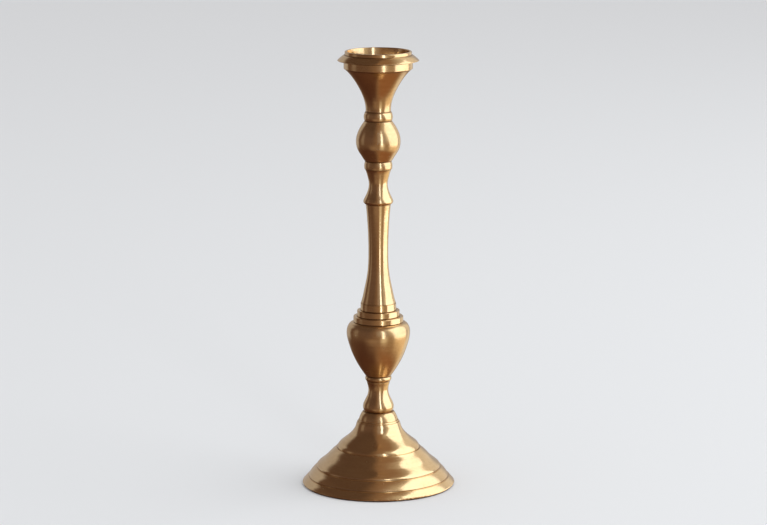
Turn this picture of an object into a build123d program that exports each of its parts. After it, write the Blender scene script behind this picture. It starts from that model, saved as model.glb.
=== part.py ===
from build123d import *
import os
from math import cos, pi

# A turned brass candlestick: hollow sections stacked on a steel rod and drawn together by a nut inside
# the foot. All sizes are in millimetres, Z is up, and the origin is on the table under the middle.

# Driving dimensions
total_height = 381.0
foot_radius = 66.5
brim_radius = 35.1
candle_socket_radius = 11.25  # for a 22 mm candle
candle_socket_depth = 20.0
felt_thickness = 1.0
felt_width = 3.8

# Heights of the joints between the sections
foot_seat = felt_thickness
spool_seat = 65.0
urn_seat = 96.6
column_seat = 144.8
upper_spool_seat = 248.6
ball_seat = 286.0
ring_seat = 321.0
cup_seat = 328.8
pan_seat = 372.6

# Radii where the sections meet
spool_foot_radius = 11.9
urn_foot_radius = 10.9
column_foot_radius = 21.2
spool_skirt_radius = 11.2
ball_pole_radius = 11.7
ring_radius = 11.8
cup_neck_radius = 11.0

# Each section has a spigot below, which drops into a counterbore in the section under it
spigot_radius = 5.5
spigot_length = 3.0
counterbore_radius = 5.6
counterbore_depth = 3.5

# Tie rod and its fastener, M6 with plain shanks in place of threads
rod_radius = 3.0
rod_hole_radius = 3.3
tapped_radius = 3.05
tapped_depth = 9.2
boss_height = 44.0
boss_radius = 17.0
washer_radius = 9.0
washer_hole_radius = 3.2
washer_thickness = 1.6
lock_washer_radius = 5.9
lock_washer_gap = 1.2
lock_washer_slant = 20.0
nut_across_flats = 10.0
nut_height = 5.0
nut_corner_bevel = 0.6
rod_below_nut = 3.4

# Candle cup and drip pan
band_radius = 29.7
band_height = 6.8
cup_mouth_radius = 27.3
cup_mouth_depth = 3.8
dish_radius = 25.0
dish_height = 5.4
pan_spigot_radius = 27.0
pan_spigot_length = 3.4
pan_throat_radius = 25.2
rim_outer_radius = 28.8
rim_inner_radius = 26.8
rim_height = 3.2
lip_round = 0.8

groove_width = 0.6
groove_depth = 0.35

os.makedirs("parts", exist_ok=True)


def raised(height, outline):
    """Points given as (radius, height above the section's own seat), lifted to the section's place."""
    return [(r, height + h) for r, h in outline]


def core(bottom, bottom_radius, top, top_radius):
    """The hidden side of a stacked section: spigot below, hole for the rod, counterbore above."""
    Polyline(
        (bottom_radius, bottom),
        (spigot_radius, bottom),
        (spigot_radius, bottom - spigot_length),
        (rod_hole_radius, bottom - spigot_length),
        (rod_hole_radius, top - counterbore_depth),
        (counterbore_radius, top - counterbore_depth),
        (counterbore_radius, top),
        (top_radius, top),
    )


def flowing(points, leaving, arriving):
    """A smooth outline through the points that leaves and arrives in the given directions."""
    Spline(*points, tangents=(leaving, arriving), tangent_scalars=(1.0, 1.0))


def groove(outer, inner):
    """A square engraved line between two points of an outline, cut straight inwards."""
    floor_radius = min(outer[0], inner[0]) - groove_depth
    Polyline(outer, (floor_radius, outer[1]), (floor_radius, inner[1]), inner)


# Felt ring, glued under the rim of the foot
with BuildPart() as base_felt_ring:
    with BuildSketch(Plane.XY):
        Circle(foot_radius - 1.0)
        Circle(foot_radius - 1.0 - felt_width, mode=Mode.SUBTRACT)
    extrude(amount=felt_thickness)
base_felt_ring.part.label = "base_felt_ring"
export_step(base_felt_ring.part, "parts/base_felt_ring.step")

# Foot: a cast bell, hollow below and solid under the stem. From the table up it has two stepped rolls,
# a wide flare, an engraved line, a second flare, a pair of engraved lines and a small dome.
with BuildPart() as base_bell:
    with BuildSketch(Plane.XZ):
        with BuildLine():
            Polyline(
                (counterbore_radius, spool_seat - counterbore_depth),
                (counterbore_radius, spool_seat),
                (13.2, spool_seat),
            )
            flowing([(13.2, spool_seat), (15.5, 61.9), (17.0, 57.9)], (1.0, -0.8), (0.25, -1.0))
            groove((17.0, 57.9), (17.4, 57.3))
            Line((17.4, 57.3), (17.9, 56.4))
            groove((17.9, 56.4), (18.4, 55.8))
            flowing(
                [
                    (18.4, 55.8),
                    (19.8, 51.8),
                    (23.4, 45.8),
                    (30.2, 39.7),
                    (34.8, 35.6),
                    (36.0, 33.2),
                ],
                (0.6, -1.0),
                (0.25, -1.0),
            )
            groove((36.0, 33.2), (37.0, 32.6))
            flowing(
                [
                    (37.0, 32.6),
                    (40.6, 29.4),
                    (46.9, 22.9),
                    (52.4, 18.5),
                    (54.2, 15.9),
                ],
                (0.8, -1.0),
                (0.1, -1.0),
            )
            Polyline((54.2, 15.9), (54.2, 15.2), (55.0, 15.1))
            ThreePointArc((55.0, 15.1), (58.9, 11.1), (61.2, 7.7))
            Polyline((61.2, 7.7), (61.2, 7.0), (61.9, 6.9))
            ThreePointArc((61.9, 6.9), (64.3, 4.5), (foot_radius - 0.6, 2.3))
            ThreePointArc(
                (foot_radius - 0.6, 2.3),
                (foot_radius, foot_seat + 0.65),
                (foot_radius - 0.5, foot_seat),
            )
            Line((foot_radius - 0.5, foot_seat), (61.3, foot_seat))
            flowing(
                [
                    (61.3, foot_seat),
                    (52.0, 12.6),
                    (33.0, 30.6),
                    (boss_radius, boss_height),
                ],
                (-0.5, 1.0),
                (-1.0, 0.9),
            )
            Polyline(
                (boss_radius, boss_height),
                (rod_hole_radius, boss_height),
                (rod_hole_radius, spool_seat - counterbore_depth),
                (counterbore_radius, spool_seat - counterbore_depth),
            )
        make_face()
    revolve(axis=Axis.Z)
base_bell.part.label = "base_bell"
export_step(base_bell.part, "parts/base_bell.step")

# Lower spool: a rounded foot, a waist and a bead under the urn
with BuildPart() as lower_spool:
    bead_height = 4.4
    bead_seat = urn_seat - bead_height
    spool_outline = [
        (spool_foot_radius, 0.0),
        (13.45, 4.3),
        (12.7, 7.6),
        (9.6, 14.2),
        (8.7, 19.2),
        (9.5, 24.0),
    ]
    with BuildSketch(Plane.XZ):
        with BuildLine():
            core(spool_seat, spool_foot_radius, urn_seat, urn_foot_radius)
            flowing(
                [
                    *raised(spool_seat, spool_outline),
                    (10.3, bead_seat),
                ],
                (1.0, 1.0),
                (0.1, 1.0),
            )
            ThreePointArc(
                (10.3, bead_seat),
                (11.5, bead_seat + bead_height / 2),
                (urn_foot_radius - 0.2, urn_seat - 0.2),
            )
            Line((urn_foot_radius - 0.2, urn_seat - 0.2), (urn_foot_radius, urn_seat))
        make_face()
    revolve(axis=Axis.Z)
lower_spool.part.label = "lower_spool"
export_step(lower_spool.part, "parts/lower_spool.step")

# Urn knop: a pear shape, widest near the top, with a rounded shoulder under the column
with BuildPart() as urn_knop:
    urn_outline = [
        (urn_foot_radius, 0.0),
        (16.5, 8.2),
        (23.2, 21.6),
        (26.0, 29.9),
        (27.6, 39.6),
        (24.6, 46.9),
    ]
    with BuildSketch(Plane.XZ):
        with BuildLine():
            core(urn_seat, urn_foot_radius, column_seat, column_foot_radius)
            flowing(
                [
                    *raised(urn_seat, urn_outline),
                    (column_foot_radius, column_seat),
                ],
                (0.75, 1.0),
                (-1.0, 0.15),
            )
        make_face()
    revolve(axis=Axis.Z)
urn_knop.part.label = "urn_knop"
export_step(urn_knop.part, "parts/urn_knop.step")

# Column: three stepped rings on its foot, an engraved line, then a long waisted shaft
with BuildPart() as column:
    ring_steps = [(21.7, 5.0), (18.5, 5.3)]  # radius and height of the two lower rings
    edge_round = 0.5
    top_ring_radius = 15.5
    top_ring_height = 6.1
    with BuildSketch(Plane.XZ):
        with BuildLine():
            core(column_seat, column_foot_radius, upper_spool_seat, 10.9)
            Line((column_foot_radius, column_seat), (ring_steps[0][0], column_seat + edge_round))
            level = column_seat
            following_radii = [ring_steps[1][0], top_ring_radius]
            for (radius, height), following in zip(ring_steps, following_radii):
                Line((radius, level + edge_round), (radius, level + height - edge_round))
                ThreePointArc(
                    (radius, level + height - edge_round),
                    (radius - 0.15, level + height - 0.15),
                    (radius - edge_round, level + height),
                )
                level += height
                Polyline(
                    (radius - edge_round, level),
                    (following - 0.2, level),
                    (following, level + edge_round),
                )
            shoulder = level + top_ring_height
            Line((top_ring_radius, level + edge_round), (top_ring_radius - 0.1, shoulder))
            groove((top_ring_radius - 0.1, shoulder), (15.1, shoulder + groove_width))
            flowing(
                [
                    (15.1, shoulder + groove_width),
                    (12.3, 173.2),
                    (10.0, 184.6),
                    (8.58, 207.0),
                    (9.5, 233.0),
                    (10.9, upper_spool_seat),
                ],
                (-0.35, 1.0),
                (0.12, 1.0),
            )
        make_face()
    revolve(axis=Axis.Z)
column.part.label = "column"
export_step(column.part, "parts/column.step")

# Upper spool: a flared skirt with a beaded edge, a waist and a rounded collar under the ball
with BuildPart() as upper_spool:
    collar_height = 7.0
    collar_seat = ball_seat - collar_height
    with BuildSketch(Plane.XZ):
        with BuildLine():
            core(upper_spool_seat, spool_skirt_radius, ball_seat, ball_pole_radius - 0.4)
            ThreePointArc(
                (spool_skirt_radius, upper_spool_seat),
                (12.95, upper_spool_seat + 2.2),
                (12.6, upper_spool_seat + 3.6),
            )
            flowing(
                [
                    (12.6, upper_spool_seat + 3.6),
                    (11.2, upper_spool_seat + 6.6),
                    (8.15, upper_spool_seat + 17.6),
                    (9.75, upper_spool_seat + 25.5),
                    (11.5, collar_seat),
                ],
                (-0.3, 1.0),
                (0.55, 1.0),
            )
            Line((11.5, collar_seat), (11.9, collar_seat + 0.1))
            ThreePointArc(
                (11.9, collar_seat + 0.1),
                (12.15, collar_seat + 3.4),
                (ball_pole_radius - 0.4, ball_seat),
            )
        make_face()
    revolve(axis=Axis.Z)
upper_spool.part.label = "upper_spool"
export_step(upper_spool.part, "parts/upper_spool.step")

# Ball knop: nearly round, drawn in a little more at its foot than at its top
with BuildPart() as ball_knop:
    ball_outline = [(ball_pole_radius - 0.2, 0.0), (14.3, 4.2), (17.5, 9.3), (19.25, 17.6), (16.7, 27.2)]
    with BuildSketch(Plane.XZ):
        with BuildLine():
            core(ball_seat, ball_pole_radius - 0.2, ring_seat, ball_pole_radius)
            flowing(
                [
                    *raised(ball_seat, ball_outline),
                    (ball_pole_radius, ring_seat),
                ],
                (0.85, 1.0),
                (-0.75, 1.0),
            )
        make_face()
    revolve(axis=Axis.Z)
ball_knop.part.label = "ball_knop"
export_step(ball_knop.part, "parts/ball_knop.step")

# Neck ring: a loose rounded ring between the ball and the candle cup
with BuildPart() as neck_ring:
    with BuildSketch(Plane.XZ):
        with BuildLine():
            core(ring_seat, ring_radius, cup_seat, ring_radius - 0.6)
            ThreePointArc(
                (ring_radius, ring_seat),
                (ring_radius + 0.7, (ring_seat + cup_seat) / 2),
                (ring_radius - 0.6, cup_seat),
            )
        make_face()
    revolve(axis=Axis.Z)
neck_ring.part.label = "neck_ring"
export_step(neck_ring.part, "parts/neck_ring.step")

# Candle cup: a trumpet with a plain band at its mouth. The socket and a dish around it are turned
# inside, the mouth is bored for the drip pan, and the foot is tapped for the rod.
with BuildPart() as candle_cup:
    band_seat = pan_seat - band_height
    mouth_floor = pan_seat - cup_mouth_depth
    socket_mouth = mouth_floor - dish_height - 0.8
    socket_floor = socket_mouth - candle_socket_depth
    tapped_end = cup_seat + tapped_depth
    with BuildSketch(Plane.XZ):
        with BuildLine():
            Polyline(
                (0.0, socket_floor),
                (0.0, tapped_end),
                (tapped_radius, tapped_end),
                (tapped_radius, cup_seat - spigot_length),
                (spigot_radius, cup_seat - spigot_length),
                (spigot_radius, cup_seat),
                (cup_neck_radius, cup_seat),
            )
            flowing(
                [
                    (cup_neck_radius, cup_seat),
                    (10.9, cup_seat + 2.8),
                    (13.2, cup_seat + 13.1),
                    (18.3, cup_seat + 23.5),
                    (23.6, cup_seat + 31.3),
                    (28.5, band_seat - 0.5),
                ],
                (-0.15, 1.0),
                (1.0, 0.85),
            )
            Polyline(
                (28.5, band_seat - 0.5),
                (band_radius - 0.3, band_seat),
                (band_radius, band_seat + 0.5),
                (band_radius, pan_seat - 0.7),
                (band_radius - 0.6, pan_seat),
                (cup_mouth_radius, pan_seat),
                (cup_mouth_radius, mouth_floor),
                (dish_radius, mouth_floor),
            )
            ThreePointArc(
                (dish_radius, mouth_floor),
                (19.5, mouth_floor - 3.6),
                (candle_socket_radius + 0.8, socket_mouth + 0.8),
            )
            Polyline(
                (candle_socket_radius + 0.8, socket_mouth + 0.8),
                (candle_socket_radius, socket_mouth),
                (candle_socket_radius, socket_floor),
                (0.0, socket_floor),
            )
        make_face()
    revolve(axis=Axis.Z)
candle_cup.part.label = "candle_cup"
export_step(candle_cup.part, "parts/candle_cup.step")

# Drip pan: a wide ring with a thin edge and an upright rim. Its spigot stands in the cup's mouth.
with BuildPart() as drip_pan:
    rim_seat = total_height - rim_height
    throat_floor = pan_seat - pan_spigot_length
    with BuildSketch(Plane.XZ):
        with BuildLine():
            Polyline(
                (pan_throat_radius, throat_floor),
                (pan_spigot_radius - 0.4, throat_floor),
                (pan_spigot_radius, throat_floor + 0.4),
                (pan_spigot_radius, pan_seat),
                (band_radius, pan_seat),
                (brim_radius - 0.25, pan_seat + 0.25),
            )
            ThreePointArc(
                (brim_radius - 0.25, pan_seat + 0.25),
                (brim_radius, pan_seat + 0.5),
                (brim_radius - 0.25, pan_seat + 0.75),
            )
            flowing(
                [
                    (brim_radius - 0.25, pan_seat + 0.75),
                    (32.6, pan_seat + 2.9),
                    (rim_outer_radius + 0.5, rim_seat),
                ],
                (-0.8, 1.0),
                (-1.0, 0.45),
            )
            Polyline(
                (rim_outer_radius + 0.5, rim_seat),
                (rim_outer_radius, rim_seat + 0.3),
                (rim_outer_radius, total_height - lip_round),
            )
            ThreePointArc(
                (rim_outer_radius, total_height - lip_round),
                (rim_outer_radius - lip_round * (1 - cos(pi / 4)), total_height - lip_round * (1 - cos(pi / 4))),
                (rim_outer_radius - lip_round, total_height),
            )
            Line((rim_outer_radius - lip_round, total_height), (rim_inner_radius + 0.5, total_height))
            ThreePointArc(
                (rim_inner_radius + 0.5, total_height),
                (rim_inner_radius + 0.15, total_height - 0.15),
                (rim_inner_radius, total_height - 0.5),
            )
            Line((rim_inner_radius, total_height - 0.5), (pan_throat_radius, throat_floor))
        make_face()
    revolve(axis=Axis.Z)
drip_pan.part.label = "drip_pan"
export_step(drip_pan.part, "parts/drip_pan.step")

# The fastener inside the foot hangs under the boss: washer, spring washer, nut, end of the rod
washer_seat = boss_height - washer_thickness
lock_washer_seat = washer_seat - washer_thickness
nut_seat = lock_washer_seat - nut_height
rod_bottom = nut_seat - rod_below_nut

with BuildPart() as base_washer:
    with BuildSketch(Plane.XY.offset(washer_seat)):
        Circle(washer_radius)
        Circle(washer_hole_radius, mode=Mode.SUBTRACT)
    extrude(amount=washer_thickness)
base_washer.part.label = "base_washer"
export_step(base_washer.part, "parts/base_washer.step")

with BuildPart() as base_lock_washer:
    with BuildSketch(Plane.XY.offset(lock_washer_seat)):
        Circle(lock_washer_radius)
        Circle(tapped_radius, mode=Mode.SUBTRACT)
    extrude(amount=washer_thickness)
    slit = Plane(
        origin=(lock_washer_radius, 0, lock_washer_seat + washer_thickness / 2),
        x_dir=(1, 0, 0),
        z_dir=(0, 0, 1),
    ).rotated((lock_washer_slant, 0, 0))
    with BuildSketch(slit):
        Rectangle(2 * lock_washer_radius, lock_washer_gap)
    extrude(amount=2 * washer_thickness, both=True, mode=Mode.SUBTRACT)
base_lock_washer.part.label = "base_lock_washer"
export_step(base_lock_washer.part, "parts/base_lock_washer.step")

with BuildPart() as base_nut:
    corner_radius = nut_across_flats / 2 / cos(pi / 6)
    with BuildSketch(Plane.XY.offset(nut_seat)):
        RegularPolygon(corner_radius, 6)
        Circle(tapped_radius, mode=Mode.SUBTRACT)
    extrude(amount=nut_height)
    with BuildSketch(Plane.XZ):
        with BuildLine():
            Polyline(
                (0, nut_seat),
                (corner_radius - 2 * nut_corner_bevel, nut_seat),
                (corner_radius, nut_seat + nut_corner_bevel),
                (corner_radius, nut_seat + nut_height - nut_corner_bevel),
                (corner_radius - 2 * nut_corner_bevel, nut_seat + nut_height),
                (0, nut_seat + nut_height),
                close=True,
            )
        make_face()
    revolve(axis=Axis.Z, mode=Mode.INTERSECT)
base_nut.part.label = "base_nut"
export_step(base_nut.part, "parts/base_nut.step")

# Tie rod: from the tapped foot of the cup down through every section to the nut
with BuildPart() as tie_rod:
    rod_top = cup_seat + tapped_depth - 1.0
    with BuildSketch(Plane.XY.offset(rod_bottom)):
        Circle(rod_radius)
    extrude(amount=rod_top - rod_bottom)
    chamfer(tie_rod.faces().sort_by(Axis.Z)[0].edges(), length=0.5)
    chamfer(tie_rod.faces().sort_by(Axis.Z)[-1].edges(), length=0.5)
tie_rod.part.label = "tie_rod"
export_step(tie_rod.part, "parts/tie_rod.step")
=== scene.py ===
import math

import bpy
import numpy as np
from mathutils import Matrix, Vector


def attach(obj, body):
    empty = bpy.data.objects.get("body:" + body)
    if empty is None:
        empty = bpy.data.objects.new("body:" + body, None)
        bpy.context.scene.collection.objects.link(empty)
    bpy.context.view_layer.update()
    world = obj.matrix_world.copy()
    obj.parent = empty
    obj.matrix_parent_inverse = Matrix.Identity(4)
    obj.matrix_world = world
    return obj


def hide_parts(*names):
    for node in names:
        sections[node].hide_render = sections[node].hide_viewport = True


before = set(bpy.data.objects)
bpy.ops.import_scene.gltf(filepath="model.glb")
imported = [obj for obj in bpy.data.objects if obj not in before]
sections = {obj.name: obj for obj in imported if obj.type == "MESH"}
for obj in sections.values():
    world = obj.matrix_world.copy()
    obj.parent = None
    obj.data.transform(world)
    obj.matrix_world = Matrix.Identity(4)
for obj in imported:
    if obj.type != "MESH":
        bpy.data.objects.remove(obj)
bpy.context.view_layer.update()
scene = bpy.context.scene

# ---- Camera: a long lens, well back from the candlestick and higher than its top, tilted
# down a little, so that the rounds of the foot and the drip pan show as open ellipses.

camera_tilt_down = 10.82  # degrees
camera = bpy.data.objects.new("camera", bpy.data.cameras.new("camera"))
scene.collection.objects.link(camera)
camera.data.lens = 137.9
camera.data.sensor_width = 36.0
camera.data.clip_end = 60.0
camera.location = (0.0045, -2.502, 0.675)
camera.rotation_euler = (math.radians(90.0 - camera_tilt_down), 0.0, 0.0)
scene.camera = camera
scene.view_settings.view_transform = "Standard"

# ---- Floor: a plain pale sheet, wide enough to fill the view from every side. The brass
# doesn't mirror it, because the room below has its own table top for that.

floor_half = 9.0
floor_pale = (0.80, 0.80, 0.80, 1.0)
corners = floor_half * np.array([(-1, -1, 0), (1, -1, 0), (1, 1, 0), (-1, 1, 0)], float)
floor_mesh = bpy.data.meshes.new("floor")
floor_mesh.from_pydata(corners.tolist(), [], [(0, 1, 2, 3)])
floor = bpy.data.objects.new("floor", floor_mesh)
scene.collection.objects.link(floor)
floor_finish = bpy.data.materials.new("pale_floor")
floor_finish.use_nodes = True
floor_paint = floor_finish.node_tree.nodes["Principled BSDF"]
floor_paint.inputs["Base Color"].default_value = floor_pale
floor_paint.inputs["Roughness"].default_value = 0.9
floor_mesh.materials.append(floor_finish)
floor.visible_glossy = False

# ---- Room: even pale light on the floor, and a warm dim room for the metal to mirror, with
# a pale wall behind, a lit table top low on the right and shade on the left. The camera
# sees only a pale haze, which softens the line where the floor ends.

even_light = (0.79, 0.80, 0.82, 1.0)
haze_at_floor = (0.60, 0.61, 0.62, 1.0)
haze_top = 25.0  # degrees of elevation where the haze has cleared


def wire(tree, kind, inputs=(), **settings):
    """Adds one shader node, sets its options, and gives each input a value or a link."""
    made = tree.nodes.new("ShaderNode" + kind)
    for option, value in settings.items():
        setattr(made, option, value)
    for place, value in dict(inputs).items():
        if isinstance(value, bpy.types.NodeSocket):
            tree.links.new(value, made.inputs[place])
        else:
            made.inputs[place].default_value = value
    return made


def reckon(tree, operation, *terms):
    """One arithmetic step on numbers or sockets."""
    return wire(tree, "Math", enumerate(terms), operation=operation).outputs[0]


def rise(tree, value, low, high, to_low=0.0, to_high=1.0):
    """A smooth step: to_low where value is under low, to_high where it is over high."""
    levels = {0: value, 1: low, 2: high, 3: to_low, 4: to_high}
    return wire(tree, "MapRange", levels, interpolation_type="SMOOTHSTEP").outputs[0]


def blended(tree, factor, first, second):
    """Colour first turning into colour second as factor goes from 0 to 1."""
    return wire(tree, "Mix", {0: factor, 6: first, 7: second}, data_type="RGBA").outputs[2]


def patch(tree, below, where, azimuths, elevations, soft, colour):
    """A soft-edged rectangle of light in the room, in degrees of azimuth and elevation: the
    product of a smooth step up at each lower edge and a smooth step down at each upper one."""
    steps = []
    for value, (low, high), blur in zip(where, (azimuths, elevations), soft):
        steps.append(rise(tree, value, low - blur, low + blur))
        steps.append(rise(tree, value, high - blur, high + blur, 1.0, 0.0))
    inside = steps[0]
    for step in steps[1:]:
        inside = reckon(tree, "MULTIPLY", inside, step)
    return blended(tree, inside, below, (*colour, 1.0))


room = bpy.data.worlds.new("room")
scene.world = room
room.use_nodes = True
room.node_tree.nodes.clear()
walls = room.node_tree
looking = wire(walls, "SeparateXYZ", {0: wire(walls, "TexCoord").outputs["Generated"]})
towards_front = reckon(walls, "MULTIPLY", looking.outputs["Y"], -1.0)
bearing = reckon(walls, "ARCTAN2", looking.outputs["X"], towards_front)
azimuth = reckon(walls, "DEGREES", bearing)
elevation = reckon(walls, "DEGREES", reckon(walls, "ARCSINE", looking.outputs["Z"]))
where = (azimuth, elevation)
both_sides = (reckon(walls, "ABSOLUTE", azimuth), elevation)

room_by_height = [  # elevation in degrees, colour of the dim side of the room
    (-90, (0.130, 0.058, 0.032)),
    (-40, (0.085, 0.036, 0.022)),
    (-15, (0.145, 0.085, 0.055)),
    (10, (0.140, 0.084, 0.060)),
    (45, (0.095, 0.054, 0.034)),
    (90, (0.110, 0.065, 0.040)),
]
height = wire(walls, "MapRange", {0: elevation, 1: -90.0, 2: 90.0, 3: 0.0, 4: 1.0}).outputs[0]
shade = wire(walls, "ValToRGB", {0: height})
while len(shade.color_ramp.elements) < len(room_by_height):
    shade.color_ramp.elements.new(0.5)
for stop, (degrees, colour) in zip(shade.color_ramp.elements, room_by_height):
    stop.position = (degrees + 90) / 180
    stop.color = (*colour, 1.0)

# Azimuth is 0 at the front and grows to the right. Each row gives the directions it is
# measured in, azimuths, elevations, softness of the edges and colour.
room_patches = [
    (where, (-15, 155), (-90, 95), (25, 5), (0.29, 0.175, 0.10)),  # the lit half of the room
    (where, (-45, 12), (-42, -18), (20, 7), (0.30, 0.20, 0.13)),  # table in front
    (where, (8, 150), (-105, -42), (28, 12), (0.31, 0.145, 0.065)),  # table by the foot
    (where, (30, 165), (-44, 0), (10, 9), (0.40, 0.28, 0.17)),  # table on the right
    (where, (66, 158), (-37, -6), (10, 9), (1.00, 0.78, 0.50)),  # the brightest part of it
    (where, (28, 155), (2, 62), (14, 12), (0.62, 0.56, 0.45)),  # pale wall on the right
    (where, (-4, 40), (-2, 44), (5, 8), (0.36, 0.29, 0.24)),  # dim wall in front
    (where, (10, 33), (-38, -6), (5, 9), (0.80, 0.70, 0.52)),  # bright strip of table
    (where, (-98, -80), (-12, 22), (5, 8), (0.27, 0.21, 0.17)),  # faint gleam on the left
    (both_sides, (122, 400), (-18, 32), (4, 5), (0.46, 0.43, 0.41)),  # wall behind
    (where, (130, 158), (-38, 50), (7, 10), (0.84, 0.78, 0.68)),  # its lit end
]
seen = shade.outputs[0]
for row in room_patches:
    seen = patch(walls, seen, *row)

mirrored = wire(walls, "Background", {0: seen})
even = wire(walls, "Background", {0: even_light})
glossy = wire(walls, "LightPath").outputs["Is Glossy Ray"]
both = wire(walls, "MixShader", {0: glossy, 1: even.outputs[0], 2: mirrored.outputs[0]})
haze = blended(walls, rise(walls, elevation, 0.0, haze_top), haze_at_floor, even_light)
backdrop = wire(walls, "Background", {0: haze})
from_camera = wire(walls, "LightPath").outputs["Is Camera Ray"]
whole = wire(walls, "MixShader", {0: from_camera, 1: both.outputs[0], 2: backdrop.outputs[0]})
wire(walls, "OutputWorld", {0: whole.outputs[0]})

# ---- Lights: a tall, wide panel like a window, square on the right of the candlestick, and
# a narrow one just right of the camera, which draws the thin highlight down the stem.

lit_height = 0.2  # metres above the floor that both panels face


def panel(name, azimuth, elevation, distance, width, height, radiance, colour):
    """A soft rectangular light. Its power is pi times its area times its radiance."""
    light = bpy.data.lights.new(name, "AREA")
    light.shape = "RECTANGLE"
    light.size, light.size_y = width, height
    light.energy = math.pi * width * height * radiance
    light.color = colour
    hung = bpy.data.objects.new(name, light)
    scene.collection.objects.link(hung)
    a, e = math.radians(azimuth), math.radians(elevation)
    away = Vector((math.sin(a) * math.cos(e), -math.cos(a) * math.cos(e), math.sin(e)))
    hung.location = Vector((0, 0, lit_height)) + away * distance
    hung.rotation_euler = away.to_track_quat("Z", "Y").to_euler()
    hung.visible_camera = False


panel("window_light", 90, 20, 3.0, 4.0, 4.6, 1.30, (0.93, 0.97, 1.0))
panel("narrow_light", 19, 14, 3.0, 0.38, 3.2, 2.9, (0.88, 0.95, 1.0))

# ---- Felt ring: a flat ring of dark brown felt, so the metal doesn't scratch the table. It
# is cut from the sheet and glued under the rim of the foot.

felt_thickness = 0.0010
felt_outer = 0.0655
felt_inner = 0.0617
felt_cut = 0.00008  # least distance of the cut edge inside the full width, in metres
felt_brown = (0.040, 0.023, 0.014, 1.0)
felt_worn = (0.085, 0.052, 0.033, 1.0)
fibres_per_metre = 2600.0
lumps_per_metre = 240.0


def lathe_mesh(name, around, rings):
    """A closed surface of revolution from an array of rings, shaped (rings, around, 3). Each
    quad joins point j of ring i to its neighbours at i + 1 and j + 1, and both directions
    close on themselves."""
    count = len(rings)
    i, j = np.meshgrid(np.arange(count), np.arange(around), indexing="ij")
    above, beside = (i + 1) % count, (j + 1) % around
    ring_pairs = [(i, j), (i, beside), (above, beside), (above, j)]
    quads = np.stack([ring * around + place for ring, place in ring_pairs], axis=-1)
    mesh = bpy.data.meshes.new(name)
    mesh.from_pydata(rings.reshape(-1, 3).tolist(), [], quads.reshape(-1, 4).tolist())
    mesh.polygons.foreach_set("use_smooth", [True] * len(mesh.polygons))
    mesh.update()
    made = bpy.data.objects.new(name, mesh)
    scene.collection.objects.link(made)
    return made


def felt_ring():
    """A ring whose cross-section is a rounded rectangle, as a superellipse of power 6: radius
    is the middle plus half the width times cos, height is the middle plus half the thickness
    times sin. Its cut edges lie 0.08 to 0.24 mm inside the full width, as slow waves."""
    turn = np.linspace(0, 2 * np.pi, 360, endpoint=False)
    lap = np.linspace(0, 2 * np.pi, 32, endpoint=False)[:, None]
    c, s = np.cos(lap), np.sin(lap)
    reach = (np.abs(c) ** 6 + np.abs(s) ** 6) ** (-1 / 6)
    across, up = c * reach, s * reach
    wander = felt_cut * (2 + np.sin(7 * turn + 1.0) * 0.6 + np.sin(23 * turn) * 0.4)
    half = (felt_outer - felt_inner) / 2 - wander
    radius = (felt_outer + felt_inner) / 2 + half * across
    high = felt_thickness / 2 * (1 + up) * np.ones_like(turn)
    rings = np.stack([radius * np.cos(turn), radius * np.sin(turn), high], axis=-1)
    return lathe_mesh("felt_ring", len(turn), rings)


def weighed(tree, *parts):
    """The sum of sockets, each times its weight."""
    total = reckon(tree, "MULTIPLY", *parts[0])
    for part in parts[1:]:
        total = reckon(tree, "ADD", total, reckon(tree, "MULTIPLY", *part))
    return total


def speckle(tree, place, per_metre, detail):
    """Soft noise in three dimensions, at a scale given in repeats per metre."""
    inputs = {"Vector": place, "Scale": per_metre, "Detail": detail}
    return wire(tree, "TexNoise", inputs).outputs[0]


felt = felt_ring()
felt_finish = bpy.data.materials.new("brown_felt")
felt_finish.use_nodes = True
tree = felt_finish.node_tree
cloth = tree.nodes["Principled BSDF"]
on_felt = wire(tree, "TexCoord").outputs["Object"]
fibres = speckle(tree, on_felt, fibres_per_metre, 6.0)
lumps = speckle(tree, on_felt, lumps_per_metre, 3.0)
mottle = weighed(tree, (fibres, 0.6), (lumps, 0.4))
felt_colour = blended(tree, rise(tree, mottle, 0.38, 0.66), felt_brown, felt_worn)
tree.links.new(felt_colour, cloth.inputs["Base Color"])
tree.links.new(rise(tree, fibres, 0.3, 0.7, 0.86, 0.98), cloth.inputs["Roughness"])
fuzz = wire(tree, "Bump", {"Height": mottle, "Distance": 0.0002, "Strength": 0.8})
tree.links.new(fuzz.outputs[0], cloth.inputs["Normal"])
cloth.inputs["Sheen Weight"].default_value = 0.06
cloth.inputs["Sheen Roughness"].default_value = 0.5
felt.data.materials.append(felt_finish)
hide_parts("base_felt_ring")
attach(felt, "candlestick")

# ---- Foot: a brass bell, sand cast, then turned on the lathe outside and left as cast
# inside. The turning leaves fine rings, and brown tarnish has settled in the engraved
# lines and corners.

brass_bright = (0.83, 0.63, 0.385, 1.0)
brass_aged = (0.63, 0.42, 0.215, 1.0)
brass_tarnish = (0.20, 0.095, 0.035, 1.0)
brass_as_cast = (0.34, 0.20, 0.085, 1.0)
as_cast_roughness = 0.62
as_cast_edge = (0.0648, 0.0652)  # radii between which the cast skin gives way to the rim
hairlines_per_metre = 2200.0
bands_per_metre = 420.0
clouds_per_metre = 55.0
mottle_per_metre = 700.0
pits_per_metre = 210.0
sand_per_metre = 1400.0
hairline_relief = 1.7e-5  # this and the next five are heights in metres
band_relief = 5.5e-5
cloud_relief = 7e-5
mottle_relief = 1.1e-5
pit_relief = -4e-5
sand_relief = 1.8e-4


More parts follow.
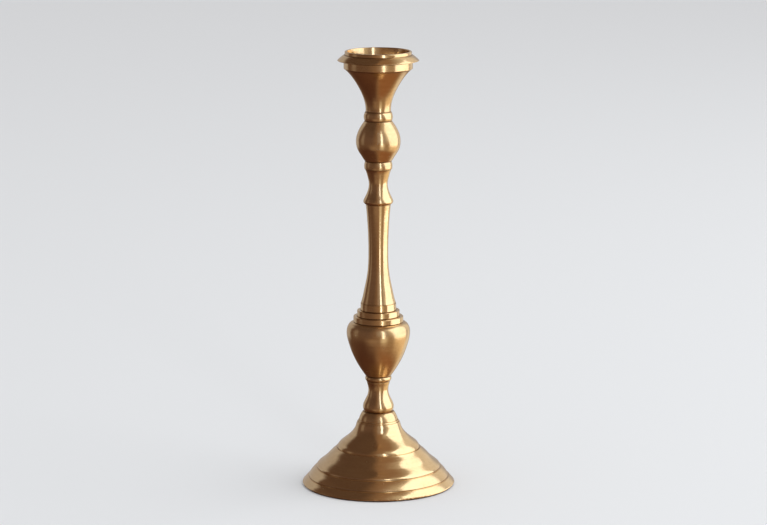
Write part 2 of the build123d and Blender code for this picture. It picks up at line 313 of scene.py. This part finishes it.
def turned_brass(name, seams, roughness, ageing, cast_inside=False):
    """Satin brass off the lathe: turning rings, clouds of age, a few small casting pits, and
    tarnish along the seams, which are the (radius, height, width) of each crease. The gloss
    is drawn out round the axis, as fine turning does. Cast inside means that what faces
    down within the rim keeps the dark, grainy skin of the sand mould."""
    finish = bpy.data.materials.new(name)
    finish.use_nodes = True
    tree = finish.node_tree
    metal = tree.nodes["Principled BSDF"]
    on_piece = wire(tree, "TexCoord").outputs["Object"]
    spot = wire(tree, "SeparateXYZ", {0: on_piece})
    height = spot.outputs[2]
    flat = wire(tree, "CombineXYZ", {0: spot.outputs[0], 1: spot.outputs[1]}).outputs[0]
    radius = wire(tree, "VectorMath", {0: flat}, operation="LENGTH").outputs["Value"]
    outwards = wire(tree, "VectorMath", {0: flat}, operation="NORMALIZE").outputs[0]
    facing = wire(tree, "SeparateXYZ", {0: outwards})

    def turning(per_metre, drift, detail):
        """Noise over radius and height that changes little all the way round, by drift, so
        it reads as rings."""
        steps = [reckon(tree, "MULTIPLY", v, per_metre) for v in (radius, height)]
        drifts = [reckon(tree, "MULTIPLY", facing.outputs[k], drift) for k in (0, 1)]
        place = wire(tree, "CombineXYZ", {0: steps[0], 1: steps[1], 2: drifts[0]}).outputs[0]
        inputs = {"Vector": place, "W": drifts[1], "Scale": 1.0, "Detail": detail}
        return wire(tree, "TexNoise", inputs, noise_dimensions="4D").outputs[0]

    def seam(r, z, width):
        """1 on the circle of radius r at height z, falling to 0 at width away from it."""
        across, up = reckon(tree, "SUBTRACT", radius, r), reckon(tree, "SUBTRACT", height, z)
        away = wire(tree, "CombineXYZ", {0: across, 1: up}).outputs[0]
        distance = wire(tree, "VectorMath", {0: away}, operation="LENGTH").outputs["Value"]
        return rise(tree, distance, 0.15 * width, width, 1.0, 0.0)

    hairlines = turning(hairlines_per_metre, 2.5, 2.0)
    bands = turning(bands_per_metre, 0.8, 3.0)
    clouds = speckle(tree, on_piece, clouds_per_metre, 5.0)
    mottle = speckle(tree, on_piece, mottle_per_metre, 3.0)

    # About one cell in seven has a pit at its middle.
    cells = wire(tree, "TexVoronoi", {"Vector": on_piece, "Scale": pits_per_metre})
    draw = wire(tree, "SeparateColor", {0: cells.outputs["Color"]}).outputs[0]
    chosen = rise(tree, draw, 0.86, 0.88)
    hollow = rise(tree, cells.outputs["Distance"], 0.05, 0.14, 1.0, 0.0)
    pits = reckon(tree, "MULTIPLY", hollow, chosen)

    dulled = reckon(tree, "MULTIPLY", pits, 0.7)
    for crease in seams:
        tarnished = reckon(tree, "MULTIPLY", seam(*crease), 0.85)
        dulled = reckon(tree, "MAXIMUM", dulled, tarnished)

    wear = weighed(tree, (clouds, 0.5), (bands, 0.3), (mottle, 0.3))
    age = rise(tree, wear, 0.42, 0.70, ageing * 0.2, ageing)
    colour = blended(tree, age, brass_bright, brass_aged)
    colour = blended(tree, dulled, colour, brass_tarnish)
    relief = weighed(
        tree,
        (hairlines, hairline_relief),
        (bands, band_relief),
        (clouds, cloud_relief),
        (mottle, mottle_relief),
        (pits, pit_relief),
    )
    uneven = weighed(tree, (clouds, 1.0), (hairlines, 0.35))
    polish = rise(tree, uneven, 0.45, 0.9, roughness - 0.03, roughness + 0.07)
    polish = reckon(tree, "ADD", polish, reckon(tree, "MULTIPLY", dulled, 0.25))

    if cast_inside:
        normal = wire(tree, "NewGeometry").outputs["Normal"]
        up = wire(tree, "SeparateXYZ", {0: normal}).outputs[2]
        faces_down = rise(tree, up, -0.12, -0.04, 1.0, 0.0)
        within = rise(tree, radius, *as_cast_edge, 1.0, 0.0)
        inside = reckon(tree, "MULTIPLY", faces_down, within)
        grain = speckle(tree, on_piece, sand_per_metre, 6.0)
        patches = weighed(tree, (grain, 0.5), (clouds, 0.5))
        sand = blended(tree, rise(tree, patches, 0.36, 0.66), brass_tarnish, brass_as_cast)
        colour = blended(tree, inside, colour, sand)
        rough = {0: inside, 2: polish, 3: as_cast_roughness}
        polish = wire(tree, "Mix", rough, data_type="FLOAT").outputs[0]
        grainy = {0: inside, 2: relief, 3: reckon(tree, "MULTIPLY", grain, sand_relief)}
        relief = wire(tree, "Mix", grainy, data_type="FLOAT").outputs[0]

    tree.links.new(colour, metal.inputs["Base Color"])
    tree.links.new(polish, metal.inputs["Roughness"])
    bumps = wire(tree, "Bump", {"Height": relief, "Distance": 1.0, "Strength": 1.0})
    tree.links.new(bumps.outputs[0], metal.inputs["Normal"])
    axis_and_place = {0: (0, 0, 1), 1: on_piece}
    around = wire(tree, "VectorMath", axis_and_place, operation="CROSS_PRODUCT").outputs[0]
    tree.links.new(around, metal.inputs["Tangent"])
    metal.inputs["Metallic"].default_value = 1.0
    metal.inputs["Anisotropic"].default_value = 0.4
    metal.inputs["Anisotropic Rotation"].default_value = 0.25
    return finish


def wear_finish(node, finish):
    """Gives a section that keeps its own shape its finish."""
    for place in sections[node].material_slots:
        place.material = finish


bell_seams = [
    (0.0132, 0.0650, 0.0010),
    (0.0172, 0.0576, 0.0005),
    (0.0182, 0.0561, 0.0005),
    (0.0365, 0.0329, 0.0005),
    (0.0542, 0.0159, 0.0005),
    (0.0612, 0.0077, 0.0005),
]
wear_finish("base_bell", turned_brass("bell_brass", bell_seams, 0.14, 0.5, cast_inside=True))

# ---- Lower spool: a small waisted spindle of turned brass with a bead under the urn. It
# sits on the dome of the foot and is threaded on the tie rod like the rest of the stem.

spool_seams = [(0.0119, 0.0650, 0.0012), (0.0103, 0.0922, 0.0009), (0.0109, 0.0966, 0.0010)]
wear_finish("lower_spool", turned_brass("lower_spool_brass", spool_seams, 0.14, 0.5))

# ---- Urn knop: the largest brass casting of the stem, pear-shaped. It is turned, then
# rubbed down by hand, so it is a little duller than the spools.

urn_seams = [(0.0109, 0.0966, 0.0014), (0.0212, 0.1448, 0.0010)]
wear_finish("urn_knop", turned_brass("urn_brass", urn_seams, 0.19, 0.6))

# ---- Column: a long brass shaft turned to a waist, with three stepped rings cut on its
# foot where it stands on the urn. It keeps more of its polish than the knops do.

column_seams = [
    (0.0213, 0.1448, 0.0008),
    (0.0185, 0.1498, 0.0008),
    (0.0155, 0.1551, 0.0008),
    (0.0151, 0.1615, 0.0006),
    (0.0109, 0.2486, 0.0010),
]
wear_finish("column", turned_brass("column_brass", column_seams, 0.14, 0.45))

# ---- Upper spool: a short brass spindle with a flared skirt below and a rounded collar
# above, all turned from one piece.

upper_spool_seams = [(0.0112, 0.2486, 0.0010), (0.0115, 0.2790, 0.0008), (0.0113, 0.2860, 0.0009)]
wear_finish("upper_spool", turned_brass("upper_spool_brass", upper_spool_seams, 0.15, 0.5))

# ---- Ball knop: a turned brass ball between the upper spool and the neck ring, bored for
# the tie rod and rubbed down by hand like the urn.

ball_seams = [(0.0115, 0.2860, 0.0012), (0.0117, 0.3210, 0.0010)]
wear_finish("ball_knop", turned_brass("ball_brass", ball_seams, 0.18, 0.55))

# ---- Neck ring: a plain rounded ring of bright brass, clamped between the ball and the
# candle cup. Tarnish lines its joints above and below.

neck_seams = [(0.0118, 0.3210, 0.0009), (0.0112, 0.3288, 0.0009)]
wear_finish("neck_ring", turned_brass("neck_ring_brass", neck_seams, 0.14, 0.4))

# ---- Candle cup: a cast brass trumpet, turned outside, with the dish and the candle's
# socket turned inside it. The tie rod screws into its foot and holds the stem together.

cup_seams = [(0.0110, 0.3288, 0.0010), (0.0287, 0.3655, 0.0009), (0.0297, 0.3724, 0.0008)]
wear_finish("candle_cup", turned_brass("cup_brass", cup_seams, 0.17, 0.6))

# ---- Drip pan: a wide turned brass ring with a thin edge and an upright rim. It drops
# into the mouth of the cup and lifts off to be cleaned of wax.

pan_seams = [(0.0290, 0.3779, 0.0009), (0.0297, 0.3726, 0.0010)]
wear_finish("drip_pan", turned_brass("pan_brass", pan_seams, 0.14, 0.5))

# ---- Tie rod, washers and nut: zinc-plated steel hardware that draws the sections
# together. It is seen only from below, inside the foot.

zinc = (0.56, 0.57, 0.58, 1.0)
zinc_dull = (0.34, 0.35, 0.36, 1.0)
spangles_per_metre = 900.0
dull_patches_per_metre = 180.0
dull_relief = 2e-5  # metres


def plated_steel(name):
    """Zinc-plated steel with small spangles and dull patches."""
    finish = bpy.data.materials.new(name)
    finish.use_nodes = True
    tree = finish.node_tree
    metal = tree.nodes["Principled BSDF"]
    on_piece = wire(tree, "TexCoord").outputs["Object"]
    cells = wire(tree, "TexVoronoi", {"Vector": on_piece, "Scale": spangles_per_metre})
    spangle = wire(tree, "SeparateColor", {0: cells.outputs["Color"]}).outputs[0]
    patches = speckle(tree, on_piece, dull_patches_per_metre, 5.0)
    dull = weighed(tree, (rise(tree, patches, 0.4, 0.7), 0.7), (spangle, 0.2))
    tree.links.new(blended(tree, dull, zinc, zinc_dull), metal.inputs["Base Color"])
    tree.links.new(rise(tree, patches, 0.3, 0.7, 0.28, 0.44), metal.inputs["Roughness"])
    relief = wire(tree, "Bump", {"Height": patches, "Distance": dull_relief, "Strength": 1.0})
    tree.links.new(relief.outputs[0], metal.inputs["Normal"])
    metal.inputs["Metallic"].default_value = 1.0
    return finish


steel = plated_steel("zinc_plate")
for node in ("base_washer", "base_lock_washer", "base_nut", "tie_rod"):
    wear_finish(node, steel)
